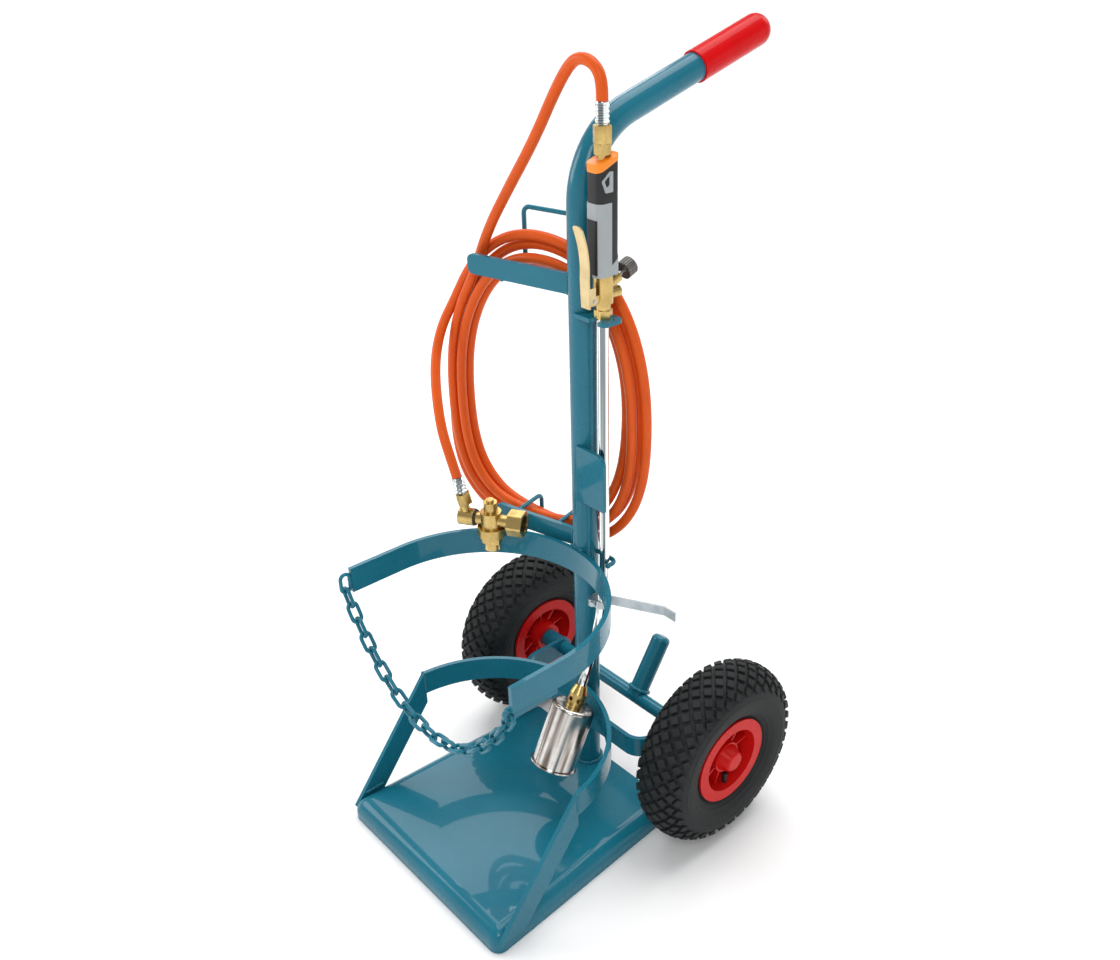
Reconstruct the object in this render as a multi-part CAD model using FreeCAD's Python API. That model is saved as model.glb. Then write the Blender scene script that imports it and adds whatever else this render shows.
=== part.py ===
import FreeCAD, Part
import math
import os

# Single-bottle torch trolley: a folded base tray and a tube post with a bent handle, two bottle
# hoops with a closing chain, two pneumatic wheels on one axle, a hose hanger, and a gas torch with
# its hose and hose-failure valve.  Millimetres, +Z up.  The floor is z = 0, the post's axis is
# x = y = 0, the bottle stands on the -Y side and the handle and the wheels are on the +Y side.

os.makedirs("parts", exist_ok=True)
V = FreeCAD.Vector
X = V(1, 0, 0)
Y = V(0, 1, 0)
Z = V(0, 0, 1)

# ---- driving dimensions ------------------------------------------------------------------------
tray_front = 302.0          # from the post's axis to the tray's front edge
tray_front_half = 165.0     # half width at the front
tray_back_half = 147.0      # half width at the back, drawn in to pass between the tyres
tray_height = 30.0
tray_sheet = 3.0
tray_front_bend = 20.0
tray_corner = 15.0

post_od = 33.7
post_wall = 2.6
post_bend_radius = 100.0
post_bend_start = 840.0     # height where the handle bend leaves the upright
handle_rise = 16.8          # degrees above level
handle_reach = 302.0        # from the post's axis to the grip's far end
grip_length = 127.0
grip_wall = 2.2
grip_clearance = 0.15

hoop_outer = 165.0
hoop_flat = 6.0
hoop_height = 35.0
hoop_bite = 1.0             # how far the hoop's back is notched over the post
upper_hoop_top = 396.0
upper_hoop_front = 257.5
lower_hoop_front = 166.0
diagonal_width = 32.0
diagonal_foot = 285.0       # front end of the diagonal's foot, measured from the post's axis

wire_chain = 5.0
link_inner = 21.0
link_width = 18.0
moving_links = 21
anchor_link_z = 377.0
hook_plate_flat = 4.0
hook_hole = 10.0
hook_reach = 256.0          # hole centre, in front of the post's axis
hook_hole_z = 356.0
hook_end_radius = 9.5
hook_root = 188.0
hook_root_top = 387.0
hook_root_bottom = 348.0

wheel_diameter = 260.0
tyre_width = 80.0
tyre_section = 70.0         # radial height of the tyre
bead_depth = 6.0            # how far the beads sit below the rim's lip
wheel_track_half = 190.0
axle_diameter = 20.0
axle_back = 58.7
carrier_height = 30.0
carrier_flat = 6.0
carrier_leg_in = 66.0       # leg's middle, in from the wheel's middle
carrier_bend = 22.0
collar_od = 27.0
rim_lip_radius = 61.5
rim_lip_offset = 31.0
rim_web = 4.0
rim_ribs = 9
rim_rib_flat = 3.2
rim_recess = 46.0           # radius of the dished space inside the lip
hub_radius = 23.0
hub_inner_end = 34.0
hub_outer_end = 22.0
bush_od = 28.0
bush_clearance = 0.08
cap_length = 15.0

kick_x = 38.0
kick_od = 27.0
kick_length = 96.0
kick_tilt = 33.0

hanger_splay = 14.0         # degrees the hose hanger is turned forward about the post
hanger_flat = 6.0
hanger_upper_height = 25.0
hanger_upper_top = 759.0
hanger_upper_length = 168.0
hanger_lower_height = 25.0
hanger_lower_top = 415.0
hanger_lower_length = 146.0
wire_rod = 6.0
wire_bend = 9.0
hook_depth = 53.5
upper_leg_u = 121.0
upper_leg_z = 732.5
upper_wire_top = 811.0
lower_leg_u = 110.0
lower_leg_near_u = 45.0
lower_leg_z = 412.5
lower_wire_bottom = 363.0

torch_x = 39.0
torch_y = -3.0
neck_od = 13.0
neck_wall = 1.0
neck_bend_start = 391.0
neck_bend_radius = 400.0
neck_bend_angle = 26.6
clip_top = 720.0
clip_flat = 5.0
handle_bottom = 771.0
handle_top = 903.0
handle_side = 24.0
handle_deep = 31.0
burner_diameter = 60.0
burner_length = 90.0
burner_wall = 1.5
burner_lip = 2.5

stand_z = 325.0
stand_turn = 27.0
stand_width = 13.0
stand_flat = 3.0
stand_reach = 84.0
stand_tip = 20.0

fitting_x = -92.0
fitting_y = -83.0
fitting_z = 427.0
fitting_turn = 31.0

hose_od = 15.5
coil_outer_u = 169.5
coil_outer_z = 215.5
coil_outer_at = (88.0, 577.5)
coil_inner_u = 123.0
coil_inner_z = 176.0
coil_inner_at = (84.0, 572.0)
coil_front = 17.6
coil_back = 50.0

run_fit = 0.3               # gap left between separate pieces that move past each other
beyond = 500.0              # reach of a cutting form that passes right through

# ---- derived places ----------------------------------------------------------------------------
post_r = post_od / 2
hoop_centre = hoop_bite - post_r - hoop_outer
hoop_inner = hoop_outer - hoop_flat
wheel_r = wheel_diameter / 2
rim_seat = wheel_r - tyre_section - bead_depth
axle_z = wheel_r
axle_r = axle_diameter / 2
carrier_top = axle_z + carrier_height / 2
lower_hoop_top = carrier_top + hoop_height    # the lower hoop rests on the axle's carrier
splay = math.radians(hanger_splay)
U = V(-math.cos(splay), -math.sin(splay), 0)
N = V(-math.sin(splay), math.cos(splay), 0)
tray_back = post_r
post_foot = tray_height - tray_sheet


# ---- helpers -----------------------------------------------------------------------------------
def save(name, shape):
    shape.exportStep("parts/" + name + ".step")


def box(x0, x1, y0, y1, z0, z1):
    return Part.makeBox(x1 - x0, y1 - y0, z1 - z0, V(x0, y0, z0))


def rod(start, direction, radius, length):
    return Part.makeCylinder(radius, length, start, direction)


def tube(start, direction, outer, inner, length):
    return rod(start, direction, outer, length).cut(rod(start, direction, inner, length))


def cone(start, direction, r0, r1, length):
    return Part.makeCone(r0, r1, length, start, direction)


def prism(points, along):
    """A flat outline pushed along a vector."""
    return Part.Face(Part.makePolygon(points + [points[0]])).extrude(along)


def hexagon(start, direction, across_flats, length):
    side = direction.cross(Z)
    if side.Length < 0.1:
        side = X
    side = V(side).normalize()
    other = direction.cross(side)
    corner = across_flats / math.sqrt(3)
    points = []
    for step in range(6):
        angle = math.radians(60 * step)
        points.append(start + side * (corner * math.cos(angle)) + other * (corner * math.sin(angle)))
    return prism(points, direction * length)


def swept(points, radii, radius):
    """A round bar along straight runs joined by tangent arcs, one radius for each inner point."""
    pieces = []
    last = points[0]
    for i in range(1, len(points) - 1):
        back = (points[i - 1] - points[i]).normalize()
        ahead = (points[i + 1] - points[i]).normalize()
        turn = math.pi - back.getAngle(ahead)
        trim = radii[i - 1] * math.tan(turn / 2)
        start = points[i] + back * trim
        centre = points[i] + (back + ahead).normalize() * (radii[i - 1] / math.cos(turn / 2))
        axis = (start - centre).cross(back * -1)
        disc = Part.Face(Part.Wire(Part.makeCircle(radius, start, back * -1)))
        pieces.append(rod(last, back * -1, radius, (start - last).Length))
        pieces.append(disc.revolve(centre, axis, math.degrees(turn)))
        last = points[i] + ahead * trim
    pieces.append(rod(last, ahead, radius, (points[-1] - last).Length))
    return pieces[0].multiFuse(pieces[1:]).removeSplitter()


def rounded(shape, radius, chosen):
    edges = [edge for edge in shape.Edges if chosen(edge)]
    return shape.makeFillet(radius, edges)


def hanger(u, n, z):
    """A point in the hose hanger's own directions: out along the bar, back, and up."""
    return U * u + N * n + Z * z


# ---- base tray ---------------------------------------------------------------------------------
def tray_form(inset, drop):
    front = -tray_front + inset
    back = tray_back - inset
    wide = tray_front_half - inset
    narrow = tray_back_half - inset
    top = tray_height - inset
    outline = [V(-wide, front, -drop), V(wide, front, -drop), V(narrow, back, -drop), V(-narrow, back, -drop)]
    block = prism(outline, Z * (top + drop))
    corner = tray_corner - inset
    block = rounded(block, corner, lambda e: abs(e.tangentAt(e.FirstParameter).z) > 0.9 and e.CenterOfMass.y < 0)

    def front_top(e):
        return e.CenterOfMass.z > top - 0.01 and e.CenterOfMass.y < front + corner + 0.01
    return rounded(block, tray_front_bend - inset, front_top)


def base_tray():
    """The folded sheet, with a notch open at the back that the post's foot stands in."""
    shell = tray_form(0, 0).cut(tray_form(tray_sheet, 1))
    notch = rod(V(0, 0, post_foot), Z, post_r, tray_sheet)
    return shell.cut(notch.fuse(box(-post_r, post_r, 0, tray_back, post_foot, tray_height)))


tray_solid = tray_form(0, 0)
save("base_tray", base_tray())

# ---- post and handle ---------------------------------------------------------------------------
rise = math.radians(handle_rise)
handle_way = V(0, math.cos(rise), math.sin(rise))
bend_trim = post_bend_radius * math.tan((math.pi / 2 - rise) / 2)
bend_corner = V(0, 0, post_bend_start + bend_trim)
handle_start = bend_corner + handle_way * bend_trim
grip_r = post_r + grip_clearance + grip_wall
handle_length = (handle_reach - handle_start.y - grip_r) / handle_way.y + grip_r - post_r
handle_end = handle_start + handle_way * handle_length
post_line = [V(0, 0, post_foot), bend_corner, handle_end]
post_skin = swept(post_line, [post_bend_radius], post_r)
post_bore = swept(post_line, [post_bend_radius], post_r - post_wall)
save("post_tube", post_skin.cut(post_bore))

grip_start = handle_end - handle_way * (grip_length - post_od / 2)
grip = rod(grip_start, handle_way, grip_r, grip_length - grip_r)
grip = grip.fuse(Part.makeSphere(grip_r, grip_start + handle_way * (grip_length - grip_r))).removeSplitter()
grip_bore = rod(grip_start, handle_way, post_r + grip_clearance, (handle_end - grip_start).Length + grip_clearance)
save("handle_grip", grip.cut(grip_bore))


# ---- bottle hoops, diagonals and chain -----------------------------------------------------------
def hoop(top, front):
    middle = V(0, hoop_centre, top - hoop_height)
    ring = tube(middle, Z, hoop_outer, hoop_inner, hoop_height)
    if -front > hoop_centre:
        keep = box(-hoop_outer, hoop_outer, -front, 0, top - hoop_height, top)
        band = ring.common(keep)
    else:
        keep = box(-hoop_outer, hoop_outer, hoop_centre, 0, top - hoop_height, top)
        band = ring.common(keep)
        for side in (-1, 1):
            near, far = sorted((side * hoop_inner, side * hoop_outer))
            band = band.fuse(box(near, far, -front, hoop_centre, top - hoop_height, top))
        band = band.removeSplitter()
    return band.cut(rod(V(0, 0, 0), Z, post_r, upper_hoop_top + 1))


def link(centre, way, side):
    """One chain link: its long axis lies along way, and its two straight legs lie out along side."""
    wire = wire_chain / 2
    out = link_width / 2 - wire
    straight = link_inner / 2 + wire - out
    axis = side.cross(way)
    pieces = []
    for end in (1, -1):
        foot = centre - way * straight + side * (out * end)
        pieces.append(rod(foot, way, wire, 2 * straight))
        bend_centre = centre + way * (straight * end)
        disc = Part.Face(Part.Wire(Part.makeCircle(wire, bend_centre + side * (out * end), way)))
        pieces.append(disc.revolve(bend_centre, axis, 180))
    return pieces[0].multiFuse(pieces[1:]).removeSplitter()


hoop_mid = (hoop_inner + hoop_outer) / 2
anchor = V(-hoop_mid, -upper_hoop_front - link_width / 2 + 1.0, anchor_link_z)
upper = hoop(upper_hoop_top, upper_hoop_front).fuse(link(anchor, Z, Y)).removeSplitter()
save("upper_hoop", upper)
save("lower_hoop", hoop(lower_hoop_top, lower_hoop_front))

diagonal_top = V(0, -lower_hoop_front, lower_hoop_top)
diagonal_base = V(0, -diagonal_foot, tray_height)
diagonal_way = (diagonal_top - diagonal_base).normalize()
foot_drop = 16.0
for name, side in (("left_diagonal", -1), ("right_diagonal", 1)):
    inner = hoop_inner * side
    start = diagonal_base - diagonal_way * (foot_drop / diagonal_way.z)
    across = V(0, diagonal_way.z, -diagonal_way.y) * diagonal_width
    far = diagonal_top + diagonal_way * diagonal_width * 2
    bar = prism([p + X * inner for p in (start, far, far + across, start + across)], X * (hoop_flat * side))
    bar = bar.common(box(-beyond, beyond, -beyond, -lower_hoop_front, tray_height - foot_drop, lower_hoop_top))
    save(name, bar.cut(tray_solid))

plate_x = hoop_inner - hook_plate_flat
hole_at = V(plate_x, -hook_reach, hook_hole_z)
outline = [V(plate_x, -hook_root, hook_root_bottom), V(plate_x, -hook_root, hook_root_top),
           V(plate_x, -hook_reach, hook_hole_z + hook_end_radius),
           V(plate_x, -hook_reach, hook_hole_z - hook_end_radius)]
hook = prism(outline, X * hook_plate_flat).fuse(rod(hole_at, X, hook_end_radius, hook_plate_flat)).removeSplitter()
save("chain_hook_plate", hook.cut(rod(hole_at, X, hook_hole / 2, hook_plate_flat)))

# The chain folds at the bend centres of its upright links, which alternate with level ones.  It
# runs between the anchor link and the hook plate's hole, and the knots are those bend centres.
link_play = 0.1             # gap between one link's wire and the next
bend_r = (link_width - wire_chain) / 2
upright_run = link_inner + wire_chain - 2 * bend_r
level_run = link_inner + wire_chain + 2 * (bend_r - wire_chain - link_play)
chain_start = anchor - Z * (level_run / 2)
last_wire = V(plate_x + hook_plate_flat / 2, -hook_reach, hook_hole_z - 1.2)
chain_end = last_wire - Z * bend_r
runs = [level_run if i % 2 else upright_run for i in range(moving_links)]


def catenary(start, end):
    """The curve between two ends for the chain's length: it gives the point at a length along it."""
    span = end - start
    reach = math.hypot(span.x, span.y)
    level = V(span.x / reach, span.y / reach, 0)
    wanted = math.sqrt(sum(runs) ** 2 - span.z ** 2)
    low, high = reach / 20, reach * 20
    for _ in range(60):
        scale = (low + high) / 2
        if 2 * scale * math.sinh(reach / (2 * scale)) > wanted:
            low = scale
        else:
            high = scale
    lowest_at = reach / 2 - scale * math.asinh(span.z / (2 * scale * math.sinh(reach / (2 * scale))))

    def point(length):
        along = lowest_at + scale * math.asinh(length / scale - math.sinh(lowest_at / scale))
        height = scale * (math.cosh((along - lowest_at) / scale) - math.cosh(lowest_at / scale))
        return start + level * along + Z * height
    return point


curve = catenary(chain_start, chain_end)
knots = [curve(sum(runs[:i])) for i in range(moving_links + 1)]
span = chain_end - chain_start
across = V(span.x, span.y, 0).normalize().cross(Z)
links = []
for i in range(moving_links):
    way = (knots[i + 1] - knots[i]).normalize()
    side = across if i % 2 else way.cross(across)
    links.append(link((knots[i] + knots[i + 1]) * 0.5, way, side))
save("chain_links", Part.makeCompound(links))
print("chain turns about", chain_start + Z * bend_r, last_wire, "lowest", min(k.z for k in knots))

# ---- axle, its carrier and the kick tube ---------------------------------------------------------
axle_line = V(0, axle_back, axle_z)
carrier_half = wheel_track_half - carrier_leg_in + carrier_flat / 2
carrier_front = -post_r - carrier_flat + 0.5
carrier_back = axle_back + carrier_height / 2
carrier_low = axle_z - carrier_height / 2


def upright_front(e):
    return abs(e.tangentAt(e.FirstParameter).z) > 0.9 and e.CenterOfMass.y < 0


outer = box(-carrier_half, carrier_half, carrier_front, carrier_back, carrier_low, carrier_low + carrier_height)
outer = rounded(outer, carrier_bend + carrier_flat, upright_front)
inside = carrier_half - carrier_flat
inner = box(-inside, inside, carrier_front + carrier_flat, carrier_back + 1, carrier_low, carrier_low + carrier_height)
inner = rounded(inner, carrier_bend, upright_front)
carrier = outer.cut(inner)
leg_ends = rod(axle_line - X * beyond, X, carrier_height / 2, 2 * beyond)
leg_keep = box(-beyond, beyond, carrier_front, axle_back, carrier_low, carrier_low + carrier_height).fuse(leg_ends)
axle_bar = rod(axle_line - X * beyond, X, axle_r, 2 * beyond)
carrier = carrier.common(leg_keep).cut(post_skin).cut(axle_bar)
save("axle_carrier", carrier)

hub_in = wheel_track_half - hub_inner_end
hub_out = wheel_track_half + hub_outer_end
washer = 1.6
washer_radius = 12.0
axle_end = 3.0              # how far the axle stands out past its washer
axle_half = hub_out + run_fit + washer + axle_end
save("axle_bar", rod(axle_line - X * axle_half, X, axle_r, 2 * axle_half))
collars = []
washers = []
for side in (-1, 1):
    way = X * side
    collars.append(tube(axle_line + way * carrier_half, way, collar_od / 2, axle_r, hub_in - run_fit - carrier_half))
    washers.append(tube(axle_line + way * (hub_out + run_fit), way, washer_radius, axle_r, washer))
save("axle_collars", Part.makeCompound(collars))
save("axle_lock_washers", Part.makeCompound(washers))

tilt = math.radians(kick_tilt)
kick_way = V(0, math.sin(tilt), math.cos(tilt))
kick_start = axle_line + X * kick_x
kick = rod(kick_start, kick_way, kick_od / 2, kick_length)
kick_round = 7.0
kick_wall = 2.5
kick = rounded(kick, kick_round, lambda e: (e.CenterOfMass - kick_start).dot(kick_way) > kick_length - 0.1)
kick = kick.cut(rod(kick_start, kick_way, kick_od / 2 - kick_wall, kick_length - kick_wall))
save("kick_tube", kick.cut(axle_bar))


# ---- wheels ------------------------------------------------------------------------------------
def turned(side, outline):
    """Revolve an outline about the axle: each point is (outward from the wheel's middle, radius)."""
    edges = []
    def place(p):
        return V(side * (wheel_track_half + p[0]), axle_back + p[1], axle_z)
    for piece in outline:
        if len(piece) == 2:
            edges.append(Part.LineSegment(place(piece[0]), place(piece[1])).toShape())
        else:
            edges.append(Part.Arc(place(piece[0]), place(piece[1]), place(piece[2])).toShape())
    return Part.Face(Part.Wire(edges)).revolve(axle_line, X, 360)


def straight_outline(points):
    return [(points[i], points[(i + 1) % len(points)]) for i in range(len(points))]


def tyre(side):
    half = tyre_width / 2
    seat = rim_lip_offset - 4.2
    bead = rim_seat
    wall = 6.0
    shoulder = (half - 8, wheel_r - 12)
    bulge = (half, wheel_r - 38)
    left = (-shoulder[0], shoulder[1])
    inner_half = half - wall
    heel = rim_lip_radius + 0.5
    outline = [((seat, bead), (seat, heel)), ((seat, heel), bulge, shoulder), (shoulder, (0, wheel_r), left),
               (left, (-bulge[0], bulge[1]), (-seat, heel)), ((-seat, heel), (-seat, bead)),
               ((-seat, bead), (-seat + wall, bead)),
               ((-seat + wall, bead), (-inner_half, wheel_r - 40), (-inner_half + 9, wheel_r - 20)),
               ((-inner_half + 9, wheel_r - 20), (0, wheel_r - 11), (inner_half - 9, wheel_r - 20)),
               ((inner_half - 9, wheel_r - 20), (inner_half, wheel_r - 40), (seat - wall, bead)),
               ((seat - wall, bead), (seat, bead))]
    return turned(side, outline)


def rim(side):
    seat = rim_seat
    recess = rim_recess
    floor = rim_recess - 3.0
    bore = bush_od / 2
    web = rim_web / 2
    lip = rim_lip_offset
    points = [(lip, rim_lip_radius), (lip - 3.5, rim_lip_radius), (lip - 4, seat), (4 - lip, seat),
              (3.5 - lip, rim_lip_radius), (-lip, rim_lip_radius), (-lip, recess), (-web, floor),
              (-web, hub_radius), (-hub_inner_end, hub_radius - 2), (-hub_inner_end, bore),
              (hub_outer_end, bore), (hub_outer_end, hub_radius - 1), (web, hub_radius), (web, floor),
              (lip, recess)]
    body = turned(side, straight_outline(points))
    for rib in range(rim_ribs):
        for out in (-1, 1):
            low, high = sorted((out * (web - 0.5), out * 17.0))
            a, b = sorted((side * (wheel_track_half + low), side * (wheel_track_half + high)))
            low_rib, high_rib = axle_z + hub_radius - 2.5, axle_z + rim_recess - 2.0
            bar = box(a, b, axle_back - rim_rib_flat / 2, axle_back + rim_rib_flat / 2, low_rib, high_rib)
            bar.rotate(axle_line, X, 360.0 / rim_ribs * rib)
            body = body.fuse(bar)
    return body.removeSplitter()


for name, side in (("left", -1), ("right", 1)):
    way = X * side
    wheel = "wheel_" + name + "_"
    save(wheel + "tyre", tyre(side))
    wheel_rim = rim(side)
    save(wheel + "rim", wheel_rim)
    save(wheel + "bush", tube(axle_line + way * hub_in, way, bush_od / 2, axle_r + bush_clearance, hub_out - hub_in))
    cap_at = axle_line + way * hub_out
    cap = cone(cap_at, way, hub_radius - 3.5, 13.0, cap_length)
    cap = rounded(cap, 4.0, lambda e: abs((e.CenterOfMass - cap_at).dot(way) - cap_length) < 0.1)
    save(wheel + "hub_cap", cap.cut(rod(cap_at, way, washer_radius + 0.5, cap_length - 4.0)))
    valve_root = axle_line + X * (side * (wheel_track_half + 20.0)) - Z * rim_recess
    save(wheel + "valve", rod(valve_root, Z, 3.4, 16.0).cut(wheel_rim))


# ---- hose hanger ---------------------------------------------------------------------------------
def hanger_bar(length, top, height):
    half = hanger_flat / 2
    low = top - height
    corners = [hanger(0, -half, low), hanger(length, -half, low), hanger(length, -half, top), hanger(0, -half, top)]
    bar = prism(corners, N * hanger_flat)
    end = hanger(length, 0, 0)
    bar = rounded(bar, 8.0, lambda e: abs(e.tangentAt(e.FirstParameter).dot(N)) > 0.9
                  and abs((e.CenterOfMass - end).dot(U)) < 0.1)
    return bar.cut(post_skin)


save("upper_hanger_bar", hanger_bar(hanger_upper_length, hanger_upper_top, hanger_upper_height))
save("lower_hanger_bar", hanger_bar(hanger_lower_length, hanger_lower_top, hanger_lower_height))

bar_back = hanger_flat / 2
upper_wire = [hanger(upper_leg_u, bar_back, upper_leg_z), hanger(upper_leg_u, hook_depth, upper_leg_z),
              hanger(upper_leg_u, hook_depth, upper_wire_top), hanger(0, hook_depth, upper_wire_top),
              hanger(0, post_r - 0.5, upper_wire_top)]
save("upper_hanger_wire", swept(upper_wire, [wire_bend] * 3, wire_rod / 2).cut(post_skin))
lower_wire = [hanger(lower_leg_u, bar_back, lower_leg_z), hanger(lower_leg_u, hook_depth, lower_leg_z),
              hanger(lower_leg_u, hook_depth, lower_wire_bottom),
              hanger(lower_leg_near_u, hook_depth, lower_wire_bottom),
              hanger(lower_leg_near_u, hook_depth, lower_leg_z), hanger(lower_leg_near_u, bar_back, lower_leg_z)]
save("lower_hanger_wire", swept(lower_wire, [wire_bend] * 4, wire_rod / 2))

# ---- torch clips and guard on the post -----------------------------------------------------------
neck_r = neck_od / 2
slot_half = neck_r + 0.5
clip_low = clip_top - clip_flat
clip = box(0, torch_x + 19, torch_y - 16, torch_y + 15, clip_low, clip_top)
clip = rounded(clip, 7.0, lambda e: abs(e.tangentAt(e.FirstParameter).z) > 0.9 and e.CenterOfMass.x > torch_x)
slot = box(torch_x - slot_half, torch_x + slot_half, torch_y - 40, torch_y, clip_low, clip_top)
slot = slot.fuse(rod(V(torch_x, torch_y, clip_low), Z, slot_half, clip_flat))
save("torch_clip_upper", clip.cut(slot).cut(post_skin).cut(box(-20, 5, -60, 60, clip_low, clip_top)))

hook_z = 388.0
behind = torch_y + neck_r + 1.5 + wire_rod / 2
beside = torch_x + neck_r + 1.5 + wire_rod / 2
lower_clip = [V(post_r - 4, behind, hook_z), V(beside, behind, hook_z), V(beside, torch_y - 4, hook_z)]
clip_wire = swept(lower_clip, [wire_bend], wire_rod / 2)
clip_wire = clip_wire.fuse(Part.makeSphere(wire_rod / 2 + 0.6, lower_clip[-1]))
save("torch_clip_lower", clip_wire.cut(post_skin))

guard_low, guard_high = 472.0, 548.0
guard_back = torch_y - neck_r - 4.0
guard = box(5.0, torch_x + 15, guard_back - 5, guard_back, guard_low, guard_high)
guard = rounded(guard, 13.0, lambda e: abs(e.tangentAt(e.FirstParameter).y) > 0.9
                and e.CenterOfMass.z > guard_high - 0.1 and e.CenterOfMass.x > torch_x)
save("torch_guard_plate", guard.cut(post_skin))

# ---- torch -------------------------------------------------------------------------------------
torch_axis = V(torch_x, torch_y, 0)


def on_torch(z):
    return torch_axis + Z * z


def handle_form(grow):
    x0, x1 = torch_x - handle_side / 2 - grow, torch_x + handle_side / 2 + grow
    y0, y1 = torch_y - handle_deep / 2 - grow, torch_y + handle_deep / 2 + grow
    form = box(x0, x1, y0, y1, handle_bottom, handle_top)
    form = rounded(form, 7.5 + grow, lambda e: abs(e.tangentAt(e.FirstParameter).z) > 0.9)
    slant = [V(x0 - 1, y0 - 1, handle_top - 12), V(x0 - 1, y1 + 1, handle_top), V(x0 - 1, y1 + 1, handle_top + 20),
             V(x0 - 1, y0 - 1, handle_top + 20)]
    return form.cut(prism(slant, X * (x1 - x0 + 2)))


cap_height = 13.0
slope_low = [V(torch_x - 30, torch_y - 30, handle_top - cap_height - 17.6),
             V(torch_x - 30, torch_y + 30, handle_top - cap_height + 5.6),
             V(torch_x - 30, torch_y + 30, handle_top + 40), V(torch_x - 30, torch_y - 30, handle_top + 40)]
above = prism(slope_low, X * 60)
skin = handle_form(0)
gas_bore = rod(on_torch(handle_bottom), Z, 5.0, handle_top - handle_bottom)
save("torch_handle", skin.cut(above).cut(gas_bore))
save("torch_end_cap", handle_form(0.6).common(above).cut(gas_bore))
face_front = torch_y - handle_deep / 2
panel_zone = box(torch_x, torch_x + 20, face_front - 2, torch_y + 2, handle_bottom, handle_bottom + 82)
pad_zone = box(torch_x - 9, torch_x + 8, face_front - 3, face_front + 5, handle_bottom + 3, handle_bottom + 64)
panel = handle_form(0.8).cut(skin).common(panel_zone).cut(pad_zone)
save("torch_handle_panel", panel)
save("torch_handle_pad", handle_form(1.4).cut(skin).common(pad_zone))

inlet_top = handle_top + 11
save("torch_inlet_nipple", rod(on_torch(handle_bottom), Z, 4.9, inlet_top - handle_bottom)
     .fuse(rod(on_torch(handle_top), Z, 9.5, inlet_top - handle_top)).removeSplitter())
nut_length = 19.0
ferrule_length = 22.0
ferrule_od = 17.5
nut_top = inlet_top + nut_length
save("torch_hose_nut", hexagon(on_torch(inlet_top), Z, 22.0, nut_length))
ferrule_top = nut_top + 2 + ferrule_length
save("torch_hose_ferrule", rod(on_torch(nut_top), Z, 6.0, 2.0)
     .fuse(rod(on_torch(nut_top + 2), Z, ferrule_od / 2, ferrule_length)).removeSplitter())

coupling_top = clip_top + 18
pin_y, pin_z = torch_y - 19.5, handle_bottom - 26.0
knob_way = V(0, math.cos(math.radians(22)), math.sin(math.radians(22)))
stem_root = V(torch_x, torch_y, handle_bottom - 15.5)
valve = rod(on_torch(coupling_top), Z, 11.5, handle_bottom - coupling_top)
valve = valve.fuse(rod(stem_root, knob_way, 7.5, 24.0))
valve = valve.fuse(rod(V(torch_x, torch_y, handle_bottom - 24.5), Y, 6.5, 24.0))
lug_half = 5.0
lug = box(torch_x - lug_half, torch_x + lug_half, pin_y, torch_y, pin_z - 5, pin_z + 5)
lug = lug.fuse(rod(V(torch_x - lug_half, pin_y, pin_z), X, 5.0, 2 * lug_half))
pin_r = 2.0
valve = valve.fuse(lug).removeSplitter()
pin_fit = 0.05
pin_hole = rod(V(torch_x - lug_half * 2, pin_y, pin_z), X, pin_r + pin_fit, lug_half * 4)
valve = valve.cut(pin_hole)
stem_r = 3.0
stem_fit = 0.1
stem_from = 6.5
stem_length = 40.0
valve = valve.cut(rod(stem_root + knob_way * (stem_from - 0.5), knob_way, stem_r + stem_fit, stem_length))
save("torch_valve_body", valve)
stem = rod(stem_root + knob_way * stem_from, knob_way, stem_r, stem_length)
save("torch_valve_stem", stem)
knob_at = stem_root + knob_way * 33.0
knob = rod(knob_at, knob_way, 11.0, 15.0)
flute_side = X
flute_up = knob_way.cross(X)
for i in range(12):
    angle = math.radians(30 * i)
    spot = knob_at + flute_side * (12.2 * math.cos(angle)) + flute_up * (12.2 * math.sin(angle))
    knob = knob.cut(rod(spot, knob_way, 2.2, 12.0))
save("torch_valve_knob", knob.cut(stem))

lever_half = 7.0
lever_flat = 2.5
foot = V(torch_x - lever_half, pin_y - 8.0, pin_z - 8)
knee = V(torch_x - lever_half, pin_y - 9.5, pin_z + 26)
tip = V(torch_x - lever_half, pin_y - 20.5, pin_z + 88)
bow = V(torch_x - lever_half, pin_y - 11.5, pin_z + 60)
shift = Y * lever_flat
blade = Part.Wire([Part.LineSegment(foot, knee).toShape(), Part.Arc(knee, bow, tip).toShape(),
                   Part.LineSegment(tip, tip + shift).toShape(),
                   Part.Arc(tip + shift, bow + shift, knee + shift).toShape(),
                   Part.LineSegment(knee + shift, foot + shift).toShape(),
                   Part.LineSegment(foot + shift, foot).toShape()])
lever = Part.Face(blade).extrude(X * (2 * lever_half))
lever = rounded(lever, 5.5, lambda e: abs(e.tangentAt(e.FirstParameter).y) > 0.9 and e.CenterOfMass.z > tip.z - 0.1)
ear_flat = lever_half - lug_half - run_fit
for side in (-1, 1):
    inner_face = torch_x + side * (lug_half + run_fit)
    near, far = sorted((inner_face, inner_face + side * ear_flat))
    ear = box(near, far, pin_y - 6.5, pin_y + 2, pin_z - 5, pin_z + 16)
    ear = ear.fuse(rod(V(near, pin_y, pin_z), X, 5.0, far - near))
    lever = lever.fuse(ear)
lever = lever.removeSplitter().cut(rod(V(torch_x - lever_half, pin_y, pin_z), X, pin_r, 2 * lever_half))
save("torch_lever", lever)
save("torch_lever_pin", rod(V(torch_x - lever_half - 1, pin_y, pin_z), X, pin_r, 2 * lever_half + 2))
coupling = hexagon(on_torch(clip_top), Z, 19.0, 10).fuse(rod(on_torch(clip_top + 10), Z, 8.5, coupling_top - clip_top - 10))
neck_top = coupling_top - 6
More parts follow.
